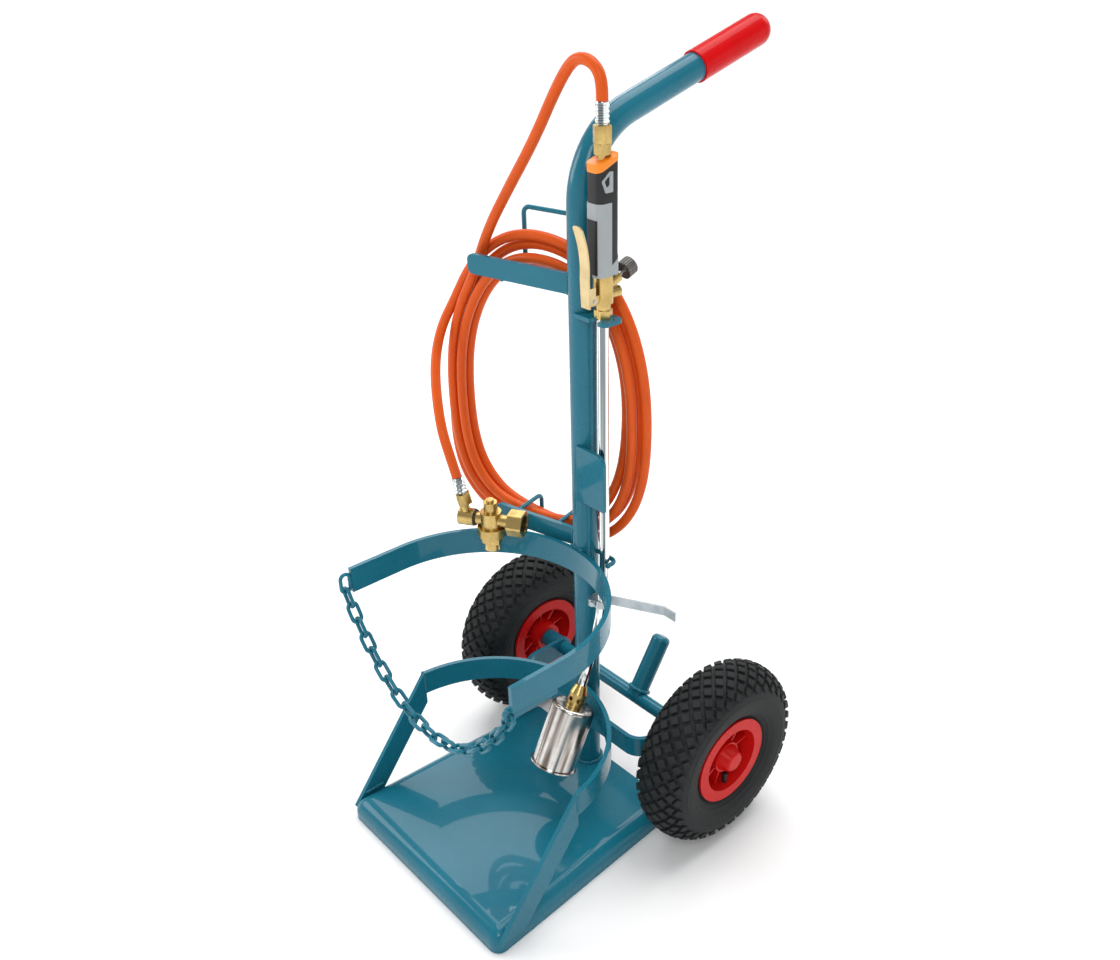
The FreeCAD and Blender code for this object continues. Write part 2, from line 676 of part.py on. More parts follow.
save("torch_coupling", coupling.removeSplitter().cut(rod(on_torch(clip_top), Z, neck_r, neck_top - clip_top)))

bend = math.radians(neck_bend_angle)
burner_way = V(0, -math.sin(bend), -math.cos(bend))
arc_end = V(torch_x, torch_y - neck_bend_radius * (1 - math.cos(bend)), neck_bend_start - neck_bend_radius * math.sin(bend))
trim = neck_bend_radius * math.tan(bend / 2)
head_length = 30.0
neck_stop = arc_end + burner_way * 2
neck_line = [on_torch(neck_top), on_torch(neck_bend_start - trim), neck_stop]
neck = swept(neck_line, [neck_bend_radius], neck_r)
save("torch_neck_tube", neck.cut(swept(neck_line, [neck_bend_radius], neck_r - neck_wall)))

head_start = neck_stop
cup_top = head_start + burner_way * head_length
head = cone(head_start, burner_way, 8.0, 12.0, 12.0).fuse(rod(head_start + burner_way * 12, burner_way, 12.0, head_length - 12))
head_side = X
head_up = burner_way.cross(X)
for i in range(6):
    angle = math.radians(60 * i + 30)
    out = head_side * math.cos(angle) + head_up * math.sin(angle)
    head = head.cut(rod(head_start + burner_way * 20, out, 3.2, 14))
head = head.fuse(rod(cup_top, burner_way, 9.0, burner_wall + 8))
save("burner_head", head.removeSplitter())

burner_r = burner_diameter / 2
cup = rod(cup_top, burner_way, burner_r, burner_length)
cup = rounded(cup, 5.0, lambda e: abs((e.CenterOfMass - cup_top).dot(burner_way)) < 0.1)
cup = cup.fuse(rod(cup_top + burner_way * (burner_length - 2), burner_way, burner_r + burner_lip, 2.0))
hollow = rod(cup_top + burner_way * burner_wall, burner_way, burner_r - burner_wall, burner_length)
hollow = rounded(hollow, 3.5, lambda e: abs((e.CenterOfMass - cup_top).dot(burner_way) - burner_wall) < 0.1)
cup = cup.removeSplitter().cut(hollow).cut(rod(cup_top, burner_way, 9.0, 5.0))
save("burner_cup", cup)

# ---- folding torch stand -------------------------------------------------------------------------
stand_angle = math.asin((neck_bend_start - stand_z) / neck_bend_radius)
clamp_at = V(torch_x, torch_y - neck_bend_radius * (1 - math.cos(stand_angle)), stand_z)
clamp_way = V(0, -math.sin(stand_angle), -math.cos(stand_angle))
turn = math.radians(stand_turn)
leg_way = V(math.cos(turn), math.sin(turn), 0)
leg_back = V(-math.sin(turn), math.cos(turn), 0)
ring_r = neck_r + 2.0
clamp_half = 5.0
leg_off = ring_r + clamp_half * math.sin(stand_angle) + run_fit
pivot_s = -11.6
pivot_r = 2.5
half_leg = stand_width / 2


def stand_point(s, back, z):
    return clamp_at + leg_way * s + leg_back * back + Z * z


ear_front = -4.5
ear = prism([stand_point(pivot_s - 5, ear_front, -clamp_half), stand_point(pivot_s + 4, ear_front, -clamp_half),
             stand_point(pivot_s + 4, leg_off - run_fit, -clamp_half),
             stand_point(pivot_s - 5, leg_off - run_fit, -clamp_half)], Z * (2 * clamp_half))
clamp = rod(clamp_at - clamp_way * clamp_half, clamp_way, ring_r, 2 * clamp_half).fuse(ear).removeSplitter()
clamp = clamp.cut(rod(clamp_at - clamp_way * ring_r, clamp_way, neck_r + 0.02, 2 * ring_r)).cut(neck)
pivot_line = stand_point(pivot_s, -9, 0)
clamp = clamp.cut(rod(pivot_line, leg_back, pivot_r, 40))
save("stand_clamp", clamp)
bolt_end = leg_off + stand_flat + run_fit
bolt_head = 3.0
bolt_flats = 7.0
bolt = rod(stand_point(pivot_s, ear_front, 0), leg_back, pivot_r, bolt_end + bolt_head - ear_front)
bolt = bolt.fuse(hexagon(stand_point(pivot_s, ear_front, 0), leg_back * -1, bolt_flats, bolt_head))
bolt = bolt.fuse(hexagon(stand_point(pivot_s, bolt_end, 0), leg_back, bolt_flats, bolt_head))
save("stand_bolt", bolt.removeSplitter())
leg = prism([stand_point(pivot_s, leg_off, -half_leg), stand_point(stand_reach, leg_off, -half_leg),
             stand_point(stand_reach, leg_off, half_leg), stand_point(pivot_s, leg_off, half_leg)], leg_back * stand_flat)
leg = leg.fuse(rod(stand_point(pivot_s, leg_off, 0), leg_back, half_leg, stand_flat))
bend_way = (leg_way * math.cos(turn) - leg_back * math.sin(turn))
tip_root = stand_point(stand_reach - 0.8, leg_off, -half_leg)
leg_tip = prism([tip_root, tip_root + leg_back * stand_flat, tip_root + leg_back * stand_flat + bend_way * stand_tip,
                 tip_root + bend_way * stand_tip], Z * (2 * half_leg))
leg = leg.fuse(leg_tip).removeSplitter()
save("stand_leg", leg.cut(rod(pivot_line, leg_back, pivot_r + 0.05, 40)))

# ---- hose-failure valve at the hose's far end ----------------------------------------------------
fitting = V(fitting_x, fitting_y, fitting_z)
turn = math.radians(fitting_turn)
A = V(math.cos(turn), math.sin(turn), 0)
core = rod(fitting - Z * 9, Z, 14.0, 22.0)
core = core.fuse(rod(fitting + Z * 13, Z, 9.0, 14.0))
core = core.fuse(rod(fitting - Z * 22, Z, 18.5, 13.0))
neck_left = 20.0
core = core.fuse(rod(fitting, A, 8.5, 25.0)).fuse(rod(fitting, A * -1, 8.5, neck_left))
core = core.fuse(rod(fitting + Z * 27, Z, 5.0, 4.0))
core = core.fuse(rod(fitting + A * 25, A, 7.5, 3.5)).fuse(rod(fitting + A * 28.5, A, 10.5, 4.0))
save("fitting_body", core.removeSplitter())
outlet_low = fitting_z - 43.0
outlet = hexagon(fitting - Z * 33, Z, 24.0, 11.0).fuse(rod(V(fitting_x, fitting_y, outlet_low), Z, 10.5, 10.0))
save("fitting_outlet", outlet.removeSplitter().cut(rod(V(fitting_x, fitting_y, outlet_low), Z, 6.0, 18.0)))
seal = 2.5
save("fitting_o_ring", rod(fitting - A * neck_left, A * -1, 10.5, seal))
plug_start = fitting - A * (neck_left + seal)
plug_length = 21.0
hose_lean = math.radians(14)
W = Z * math.cos(hose_lean) - A * math.sin(hose_lean)
plug_centre = plug_start - A * (plug_length / 2)
plug = rod(plug_start, A * -1, 11.5, plug_length).fuse(rod(plug_centre, W, 6.5, 20.0))
save("fitting_hose_plug", plug.removeSplitter())
save("fitting_hose_nut", hexagon(plug_centre + W * 20, W, 18.0, 15.0))
far_ferrule = plug_centre + W * 35
save("fitting_hose_ferrule", rod(far_ferrule, W, 6.0, 2.0).fuse(rod(far_ferrule + W * 2, W, ferrule_od / 2, ferrule_length))
     .removeSplitter())
nut_long = 20.0
nut_at = fitting + A * 26
union = hexagon(nut_at, A, 32.0, nut_long).common(rod(nut_at, A, 17.6, nut_long))
union = union.cut(rod(nut_at, A, 7.7, 5)).cut(rod(nut_at + A * 2.2, A, 12.0, nut_long))
save("fitting_union_nut", union)

# ---- hose --------------------------------------------------------------------------------------
hose_r = hose_od / 2


def hose(name, points):
    radii = []
    for i in range(1, len(points) - 1):
        back = points[i - 1] - points[i]
        ahead = points[i + 1] - points[i]
        turn = math.pi - back.getAngle(ahead)
        radii.append(0.45 * min(back.Length, ahead.Length) / math.tan(turn / 2))
    solid = swept(points, radii, hose_r)
    runs = [(b - a).Length for a, b in zip(points[:-1], points[1:])]
    print(name, "length", round(solid.Volume / (math.pi * hose_r ** 2), 1), "runs", [round(r) for r in runs],
          "arc radii", [round(r) for r in radii])
    save(name, solid)


top_start = on_torch(ferrule_top)
far_start = far_ferrule + W * (2 + ferrule_length)
hose("hose_top_run", [top_start, V(39, -3, 977), V(29, -3, 991), V(12, -4, 997), V(-6, -5, 992), V(-29, -7, 963),
                      V(-66, -10, 903), V(-108, -15, 845), V(-148, -20, 787), V(-176, -22, 738)])
hose("hose_tail", [far_start, far_start + W * 24, V(-150, -110, 545), V(-176, -97, 578), V(-204, -74, 612),
                   V(-231, -37, 650)])


def oval(u, z, centre):
    middle = hanger(centre[0], coil_front, centre[1])
    curve = Part.Ellipse(middle + Z * z, middle + U * u, middle)
    return Part.Face(Part.Wire(curve.toShape())).extrude(N * (coil_back - coil_front))


coil = oval(coil_outer_u, coil_outer_z, coil_outer_at).cut(oval(coil_inner_u, coil_inner_z, coil_inner_at))
save("hose_coil", coil)
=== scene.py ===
import bmesh
import bpy
import math
import random
from mathutils import Matrix, Vector


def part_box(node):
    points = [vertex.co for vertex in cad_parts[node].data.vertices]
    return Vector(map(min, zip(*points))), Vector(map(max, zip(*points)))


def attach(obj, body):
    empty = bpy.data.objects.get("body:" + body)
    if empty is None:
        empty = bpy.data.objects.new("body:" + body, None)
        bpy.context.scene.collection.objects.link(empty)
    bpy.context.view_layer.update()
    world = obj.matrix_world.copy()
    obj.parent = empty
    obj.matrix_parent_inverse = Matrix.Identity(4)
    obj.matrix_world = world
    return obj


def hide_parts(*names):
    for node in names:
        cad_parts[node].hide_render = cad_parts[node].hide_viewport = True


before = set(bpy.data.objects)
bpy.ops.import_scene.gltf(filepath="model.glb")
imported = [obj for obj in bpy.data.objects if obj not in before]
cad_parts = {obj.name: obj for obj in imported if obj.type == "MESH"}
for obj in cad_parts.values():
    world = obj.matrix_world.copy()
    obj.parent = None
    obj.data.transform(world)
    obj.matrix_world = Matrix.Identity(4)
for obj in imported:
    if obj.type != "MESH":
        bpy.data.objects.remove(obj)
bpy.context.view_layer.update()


# ---- finishes ----------------------------------------------------------------------------------
class Field:
    """A value inside a finish: sums and products of fields add the maths nodes they need."""

    def __init__(self, finish, socket):
        self.finish = finish
        self.socket = socket

    def step(self, operation, first, second):
        return self.finish.node("ShaderNodeMath", {"operation": operation}, {0: first, 1: second})

    def __add__(self, other):
        return self.step("ADD", self, other)

    def __radd__(self, other):
        return self.step("ADD", other, self)

    def __mul__(self, other):
        return self.step("MULTIPLY", self, other)

    def __rmul__(self, other):
        return self.step("MULTIPLY", other, self)


class Finish:
    """One material: a shader with its fixed values, and fields worked out over the surface."""

    def __init__(self, name, **fixed):
        self.material = bpy.data.materials.new(name)
        self.material.use_nodes = True
        self.tree = self.material.node_tree
        self.tree.nodes.clear()
        self.shader = self.tree.nodes.new("ShaderNodeBsdfPrincipled")
        output = self.tree.nodes.new("ShaderNodeOutputMaterial")
        self.tree.links.new(self.shader.outputs[0], output.inputs[0])
        for key, value in fixed.items():
            self.set(self.shader, key.replace("_", " ").title().replace("Ior", "IOR"), value)
        self.place = self.node("ShaderNodeTexCoord", {}, {}, "Object")

    def set(self, node, key, value):
        if isinstance(value, Field):
            self.tree.links.new(value.socket, node.inputs[key])
        elif isinstance(value, tuple) and len(value) == 3 and node.inputs[key].type == "RGBA":
            node.inputs[key].default_value = (*value, 1.0)
        else:
            node.inputs[key].default_value = value

    def node(self, kind, settings, values, output=0):
        made = self.tree.nodes.new(kind)
        for key, value in settings.items():
            if key == "stops":
                self.fill_ramp(made.color_ramp, value)
            else:
                setattr(made, key, value)
        for key, value in values.items():
            self.set(made, key, value)
        return Field(self, made.outputs[output])

    def fill_ramp(self, ramp, stops):
        while len(ramp.elements) < len(stops):
            ramp.elements.new(0.5)
        for element, (place, shade) in zip(ramp.elements, stops):
            element.position = place
            element.color = (shade, shade, shade, 1)

    def scaled(self, scale, where=None):
        """Places in the object, times a factor for each direction."""
        return self.node("ShaderNodeMapping", {}, {"Vector": where or self.place, "Scale": scale})

    def noise(self, size, detail=2.0, rough=0.5, where=None):
        """Soft blotches about size metres across, from 0 to 1."""
        values = {"Vector": where or self.place, "Scale": 1.0 / size, "Detail": detail, "Roughness": rough}
        return self.node("ShaderNodeTexNoise", {}, values)

    def ramp(self, field, *stops):
        """The field passed through stops of (value, result)."""
        return self.node("ShaderNodeValToRGB", {"stops": stops}, {0: field})

    def mix(self, factor, first, second):
        """From the first colour to the second as factor goes from 0 to 1."""
        return self.node("ShaderNodeMix", {"data_type": "RGBA"}, {0: factor, 6: first, 7: second}, 2)

    def bump(self, height, depth, strength=1.0, edge=0.0):
        """A relief depth metres high, over edges softened to a radius of edge metres."""
        values = {"Height": height, "Distance": depth, "Strength": strength}
        if edge:
            values["Normal"] = self.node("ShaderNodeBevel", {"samples": 4}, {"Radius": edge})
        self.set(self.shader, "Normal", self.node("ShaderNodeBump", {}, values))

    def vary(self, key, field):
        self.set(self.shader, key, field)


def tinted(colour, factor):
    """The colour made lighter or darker by a factor."""
    return tuple(min(1.0, c * factor) for c in colour)


def enamel(name, colour):
    """Thick glossy paint: faint tone drifts, an orange-peel skin and a few duller handled patches."""
    f = Finish(name, coat_weight=0.4, coat_roughness=0.03, specular_ior_level=0.12)
    drift = f.noise(0.16, 3.0)
    speck = f.noise(0.004, 2.0)
    drifted = f.ramp(drift, (0.3, 0.0), (0.72, 1.0))
    f.vary("Base Color", f.mix(drifted, tinted(colour, 0.9), tinted(colour, 1.1)))
    f.vary("Roughness", 0.2 + 0.12 * f.noise(0.05, 4.0, 0.6) + 0.03 * speck)
    f.bump(f.noise(0.0016, 1.0) * 0.3 + f.noise(0.012, 1.0), 0.00004, 0.25, 0.0009)
    return f.material


def moulded(name, colour, rough=0.45, grain=0.0006, depth=0.00004, coat=0.0, shine=0.4):
    """Moulded plastic or rubber with a fine even grain."""
    f = Finish(name, coat_weight=coat, coat_roughness=0.15, specular_ior_level=shine)
    cloud = f.noise(0.03, 3.0)
    f.vary("Base Color", f.mix(cloud, tinted(colour, 0.88), tinted(colour, 1.12)))
    f.vary("Roughness", rough - 0.06 + 0.12 * f.noise(0.012, 3.0))
    f.bump(f.noise(grain, 2.0), depth, 0.6)
    return f.material


def machined(name, colour, dull, rough=0.26, mark=(1, 1, 1), size=0.0009, depth=0.00003):
    """Bare metal with tool marks drawn out along one direction and a thin dull film in patches."""
    f = Finish(name, metallic=1.0)
    lines = f.noise(size, 3.0, 0.6, f.scaled(mark))
    film = f.ramp(f.noise(0.018, 4.0, 0.6), (0.42, 0.0), (0.7, 1.0))
    f.vary("Base Color", f.mix(film * 0.7, colour, dull))
    f.vary("Roughness", rough + 0.12 * lines + 0.1 * film)
    f.bump(lines, depth, 0.6, 0.0005)
    return f.material


CUP_LEAN = math.radians(26.6)   # the burner's cup leans back by this much


def spun_stainless():
    """The burner's cup: rolled sheet with painted reflections as dark and bright bands along it, and
    heat-browned streaks.
    """
    f = Finish("spun_stainless", metallic=1.0)
    upright = f.node("ShaderNodeMapping", {}, {"Vector": f.place, "Rotation": (CUP_LEAN, 0, 0)})
    drawn = f.scaled((1, 1, 0.05), upright)
    # Painted reflections: dark and bright bands drawn along the cup, put into its colour.
    painted_reflection_band = f.ramp(f.noise(0.011, 2.0, 0.6, drawn), (0.4, 0.0), (0.62, 1.0))
    fine = f.noise(0.0012, 2.0, 0.6, drawn)
    film = f.ramp(f.noise(0.02, 4.0, 0.6), (0.45, 0.0), (0.75, 1.0))
    steel_with_painted_reflections = f.mix(painted_reflection_band, (0.17, 0.14, 0.12), (0.78, 0.76, 0.73))
    f.vary("Base Color", f.mix(film * 0.35, steel_with_painted_reflections, (0.3, 0.2, 0.13)))
    f.vary("Roughness", 0.14 + 0.12 * fine + 0.1 * film)
    f.bump(fine, 0.00002, 0.5)
    return f.material


def chromed_tube():
    """Polished tube with painted reflections: long dark and bright bands drawn along it in its colour."""
    f = Finish("chromed_tube", metallic=1.0)
    # Painted reflections: long dark and bright bands put into the tube's colour.
    painted_reflection_band = f.ramp(f.noise(0.0055, 1.0, 0.5, f.scaled((1, 1, 0.01))), (0.42, 0.0), (0.56, 1.0))
    f.vary("Base Color", f.mix(painted_reflection_band, (0.2, 0.23, 0.24), (0.86, 0.89, 0.88)))
    f.vary("Roughness", 0.06 + 0.08 * f.noise(0.01, 3.0))
    return f.material


def hose_rubber():
    """Orange gas hose: cloudy colour with a few paler scuffs."""
    f = Finish("orange_hose_rubber", coat_weight=0.06, coat_roughness=0.2, specular_ior_level=0.2)
    cloud = f.noise(0.05, 3.0)
    scuff = f.ramp(f.noise(0.007, 5.0, 0.7), (0.56, 0.0), (0.78, 1.0))
    body = f.mix(cloud, (0.58, 0.07, 0.003), (0.72, 0.1, 0.006))
    f.vary("Base Color", f.mix(scuff * 0.15, body, (0.78, 0.22, 0.09)))
    f.vary("Roughness", 0.4 + 0.14 * scuff)
    f.bump(f.noise(0.0011, 2.0), 0.00004, 0.7)
    return f.material


def tyre_rubber(name, tone):
    """Black rubber of a tone from 0 to 1, greyer where dust lies."""
    f = Finish(name, specular_ior_level=0.16)
    clean = tinted((0.9, 1.02, 1.06), tone)
    dusty = tinted((0.95, 1.02, 1.03), 2.4 * tone)
    dust = f.ramp(f.noise(0.03, 5.0, 0.65), (0.45, 0.0), (0.75, 1.0))
    f.vary("Base Color", f.mix(dust * 0.5, clean, dusty))
    f.vary("Roughness", 0.56 + 0.16 * dust)
    f.bump(f.noise(0.0012, 3.0), 0.00006, 0.6)
    return f.material


paint = enamel("teal_enamel", (0.009, 0.142, 0.208))
brass = machined("turned_brass", (0.6, 0.43, 0.16), (0.4, 0.27, 0.09), 0.2)
chrome = chromed_tube()
rubber = tyre_rubber("tyre_rubber", 0.017)
# A darker copy of the tyre rubber: painted shade for the floor of the grooves.
groove_painted_shade_rubber = tyre_rubber("tyre_groove_painted_shade_rubber", 0.004)
shaded_brass = machined("shaded_brass", (0.16, 0.11, 0.05), (0.1, 0.07, 0.03), 0.4)
orange = moulded("orange_plastic", (0.9, 0.25, 0.012), 0.35)
grey = moulded("grey_plastic", (0.33, 0.36, 0.37), 0.42)
black = moulded("black_plastic", (0.012, 0.0125, 0.014), 0.5)
dark_metal = machined("dark_knurled_metal", (0.2, 0.19, 0.18), (0.1, 0.1, 0.1), 0.36)
finishes = {
    paint: ["base_tray", "post_tube", "upper_hoop", "lower_hoop", "left_diagonal", "right_diagonal",
            "chain_hook_plate", "chain_links", "axle_carrier", "axle_collars", "kick_tube", "axle_bar",
            "upper_hanger_bar", "lower_hanger_bar", "upper_hanger_wire", "lower_hanger_wire",
            "torch_clip_upper", "torch_clip_lower", "torch_guard_plate"],
    moulded("red_grip_vinyl", (0.6, 0.003, 0.005), 0.22, 0.004, 0.00006, 0.1, 0.08): ["handle_grip"],
    moulded("red_rim_plastic", (0.55, 0.008, 0.007), 0.34, 0.002, 0.00005, 0.05, 0.12):
        ["wheel_left_rim", "wheel_right_rim", "wheel_left_hub_cap", "wheel_right_hub_cap"],
    black: ["wheel_left_bush", "wheel_right_bush", "wheel_left_valve", "wheel_right_valve", "torch_handle",
            "torch_handle_pad", "fitting_o_ring"],
    grey: ["torch_handle_panel"],
    orange: ["torch_end_cap"],
    dark_metal: ["torch_valve_knob"],
    brass: ["torch_valve_body", "torch_coupling", "torch_inlet_nipple", "torch_hose_nut",
            "burner_head", "fitting_body", "fitting_outlet", "fitting_hose_plug", "fitting_hose_nut",
            "fitting_union_nut"],
    machined("plated_steel", (0.5, 0.5, 0.51), (0.3, 0.3, 0.3), 0.16):
        ["torch_valve_stem", "torch_hose_ferrule", "fitting_hose_ferrule"],
    machined("zinc_plate", (0.5, 0.55, 0.58), (0.36, 0.4, 0.42), 0.28):
        ["axle_lock_washers", "stand_clamp", "stand_bolt", "stand_leg", "torch_lever_pin"],
    chrome: ["torch_neck_tube"],
    machined("satin_brass", (0.68, 0.54, 0.3), (0.54, 0.41, 0.2), 0.3): ["torch_lever"],
    spun_stainless(): ["burner_cup"],
    rubber: ["wheel_left_tyre", "wheel_right_tyre"],
}


def dress(piece, material):
    """Gives the whole piece one material."""
    piece.data.materials.clear()
    piece.data.materials.append(material)


for material, names in finishes.items():
    for name in names:
        dress(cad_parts[name], material)

# ---- making pieces -----------------------------------------------------------------------------
MM = 0.001


def finished(bm, name, body, material, replaced=(), crease=35):
    """Turns a bmesh into a piece on its body, smooth up to the crease angle in degrees."""
    bmesh.ops.recalc_face_normals(bm, faces=bm.faces)
    mesh = bpy.data.meshes.new(name)
    bm.to_mesh(mesh)
    bm.free()
    mesh.shade_smooth()
    mesh.set_sharp_from_angle(angle=math.radians(crease))
    piece = bpy.data.objects.new(name, mesh)
    bpy.context.scene.collection.objects.link(piece)
    dress(piece, material)
    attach(piece, body)
    if replaced:
        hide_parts(*replaced)
    return piece


def seated(bm, start, way):
    """Moves what was made upright at the origin to its start, with its axis along way."""
    turn = Vector((0, 0, 1)).rotation_difference(way).to_matrix().to_4x4()
    bmesh.ops.transform(bm, matrix=Matrix.Translation(start) @ turn, verts=bm.verts)


def points_of(geometry):
    """The points among the mixed geometry that a mesh operator gives back."""
    return [item for item in geometry if isinstance(item, bmesh.types.BMVert)]


def raised(bm, faces, way):
    """Extrudes faces along way, and gives the points that moved."""
    points = points_of(bmesh.ops.extrude_face_region(bm, geom=faces)["geom"])
    bmesh.ops.translate(bm, vec=way, verts=points)
    return points


def rounded(bm, edges, size, segments=2):
    """Rounds edges by a size."""
    bmesh.ops.bevel(bm, geom=edges, affect="EDGES", offset=size, segments=segments, profile=0.5,
                    material=-1)


def sharp_edges(bm, angle):
    """The edges where two faces turn by more than an angle."""
    return [e for e in bm.edges if len(e.link_faces) == 2 and e.calc_face_angle() > angle]


def lathe(bm, outline, steps, closed=False):
    """Spins an outline of (height, radius) in millimetres about the upright axis."""
    ring = [bm.verts.new((radius * MM, 0, height * MM)) for height, radius in outline]
    edges = [bm.edges.new(pair) for pair in zip(ring[:-1], ring[1:])]
    if closed:
        edges.append(bm.edges.new((ring[-1], ring[0])))
    bmesh.ops.spin(bm, geom=ring + edges, cent=(0, 0, 0), axis=(0, 0, 1), angle=math.tau, steps=steps,
                   use_merge=True)
    bmesh.ops.remove_doubles(bm, verts=bm.verts, dist=MM * 0.001)


# ---- tyres -------------------------------------------------------------------------------------
WHEEL = 130.0                # the tyre's outer radius, in millimetres as all of the tyre's sizes
CROWN = 48.67                # radius of the tread across its middle
CROWN_EDGE = 34.9            # where the shoulder begins, along the tread from its middle
WALL = 43.0                  # radius of the shoulder and the sidewall
WALL_CENTRE = (-3.0, 93.0)
WALL_START = math.radians(54.5)
BEAD = 96.1                  # where the sidewall meets the rim
RIM_EDGE = (26.8, 54.3)      # how far out and at what radius the tyre's inside begins
GROOVE = 4.4                 # depth of the tread
TREAD_REACH = 41.0           # where the grooves begin to run out, along the tread from its middle
RUN_OUT = 9.0                # and how soon they end
WALL_DEPTH = 0.8             # how far the plain sidewall lies under its rings
# Each raised ring on the sidewall: its place, half width and height.
WALL_RINGS = ((60, 0.8, 0.5), (75, 0.6, 0.35), (84, 1.6, 0.6), (90, 0.7, 0.4))
DARK_REACH = 36.5            # the painted shade on the grooves' floor ends this far out from the tyre's middle
DARK_RADIUS = 105.0          # and lies outside this radius
SECTION_STEPS = 110
BLOCKS_ROUND = 36
BLOCK_ROWS = 4               # rows of blocks on each side of the middle one
BLOCK_STEP = 11.0
BLOCK_HALF = 5.5
BLOCK_ROOT = 0.4             # how deep a block is set into the grooves' floor


def tyre_skin(along, depth):
    """The (outward, radius) of a place along the tyre's section from its middle, depth under the skin."""
    side = math.copysign(1, along)
    along = abs(along)
    if along <= CROWN_EDGE:
        angle = along / CROWN
        return side * (CROWN - depth) * math.sin(angle), WHEEL - CROWN + (CROWN - depth) * math.cos(angle)
    angle = WALL_START + (along - CROWN_EDGE) / WALL
    return (side * (WALL_CENTRE[0] + (WALL - depth) * math.sin(angle)),
            WALL_CENTRE[1] + (WALL - depth) * math.cos(angle))


def carcass_depth(along):
    """The grooves' floor under the tread, then the sidewall with its raised rings."""
    along = abs(along)
    if along < TREAD_REACH + RUN_OUT:
        share = max(0.0, (along - TREAD_REACH) / RUN_OUT)
        return GROOVE + (WALL_DEPTH - GROOVE) * share
    return WALL_DEPTH - sum(height for place, half, height in WALL_RINGS if abs(along - place) < half)


def tread():
    """The diamond blocks: made flat, in rows set half a step apart, as (round, across, height)."""
    bm = bmesh.new()
    height = GROOVE + BLOCK_ROOT
    bmesh.ops.create_grid(bm, x_segments=2, y_segments=2, size=BLOCK_HALF,
                          matrix=Matrix.Rotation(math.radians(45), 4, "Z"))
    top = raised(bm, bm.faces[:], (0, 0, height))
    bmesh.ops.scale(bm, vec=(0.93, 0.93, 1), verts=top)
    bm.normal_update()
    brim = [e for e in bm.edges if e.verts[0] in top and e.verts[1] in top
            and e.link_faces[0].normal.dot(e.link_faces[-1].normal) < 0.5]
    rounded(bm, brim, 0.7, 1)
    block = bm.verts[:] + bm.edges[:] + bm.faces[:]
    first = bm.verts[:]
    pitch = math.tau * WHEEL / BLOCKS_ROUND
    for row in range(-BLOCK_ROWS, BLOCK_ROWS + 1):
        for i in range(BLOCKS_ROUND):
            copied = bmesh.ops.duplicate(bm, geom=block)["geom"]
            place = ((i + 0.5 * (row % 2)) * pitch, row * BLOCK_STEP, 0)
            bmesh.ops.translate(bm, vec=place, verts=points_of(copied))
    bmesh.ops.delete(bm, geom=first, context="VERTS")
    for v in bm.verts:
        out, radius = tyre_skin(v.co.y, height - v.co.z)
        turn = v.co.x / WHEEL
        v.co = Vector((radius * math.cos(turn), radius * math.sin(turn), out)) * MM
    blocks = bpy.data.meshes.new("tread")
    bm.to_mesh(blocks)
    bm.free()
    return blocks


tread_blocks = tread()


def tyre(side):
    """One tyre: a spun carcass with painted shade on the grooves' floor, with the blocks of the tread on it."""
    node = f"wheel_{side}_tyre"
    low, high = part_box(node)
    reach, radius = RIM_EDGE
    places = [BEAD * i / SECTION_STEPS for i in range(-SECTION_STEPS, SECTION_STEPS + 1)]
    outline = [tyre_skin(along, carcass_depth(along)) for along in places]
    bm = bmesh.new()
    lathe(bm, [(-reach, radius)] + outline + [(reach, radius)], 96, closed=True)
    # Faces on the grooves' floor take the darker rubber, as painted shade.
    for face in bm.faces:
        middle = face.calc_center_median()
        face.material_index = int(abs(middle.z) < DARK_REACH * MM and middle.xy.length > DARK_RADIUS * MM)
    bm.from_mesh(tread_blocks)
    seated(bm, (low + high) / 2, Vector((1, 0, 0)))
    piece = finished(bm, "tyre_" + side, "wheel_" + side, rubber, [node], 40)
    piece.data.materials.append(groove_painted_shade_rubber)


tyre("left")
tyre("right")


# ---- weld beads --------------------------------------------------------------------------------
shake = random.Random(11)
DROP_SPACING = 0.8           # how far apart a bead's drops are, in their own sizes


def weld(name, points, size=2.7):
    """A run of overlapping drops along straight stretches between points in millimetres."""
    bm = bmesh.new()
    for start, end in zip(points[:-1], points[1:]):
        start, end = Vector(start), Vector(end)
        count = max(1, round((end - start).length / (size * DROP_SPACING)))
        for i in range(count + 1):
            place = start.lerp(end, i / count) + Vector([shake.uniform(-0.3, 0.3) for _ in range(3)])
            drop = Matrix.Translation(place * MM) @ Matrix.Rotation(shake.uniform(0, 3), 4, "Z")
            bmesh.ops.create_uvsphere(bm, u_segments=10, v_segments=7, matrix=drop,
                                      radius=size * shake.uniform(0.85, 1.12) * MM)
    return finished(bm, name, "trolley", paint, crease=80)


def ring(centre, way, radius, first, last, steps=14):
    """Points on an arc about an axis, in degrees from the axis's own sideways direction."""
    way = Vector(way).normalized()
    side = way.cross(Vector((1, 0, 0)))
    if side.length < 0.2:
        side = way.cross(Vector((0, 1, 0)))
    side = side.normalized()
    other = way.cross(side)
    angles = [math.radians(first + (last - first) * i / steps) for i in range(steps + 1)]
    return [Vector(centre) + (side * math.cos(a) + other * math.sin(a)) * radius for a in angles]


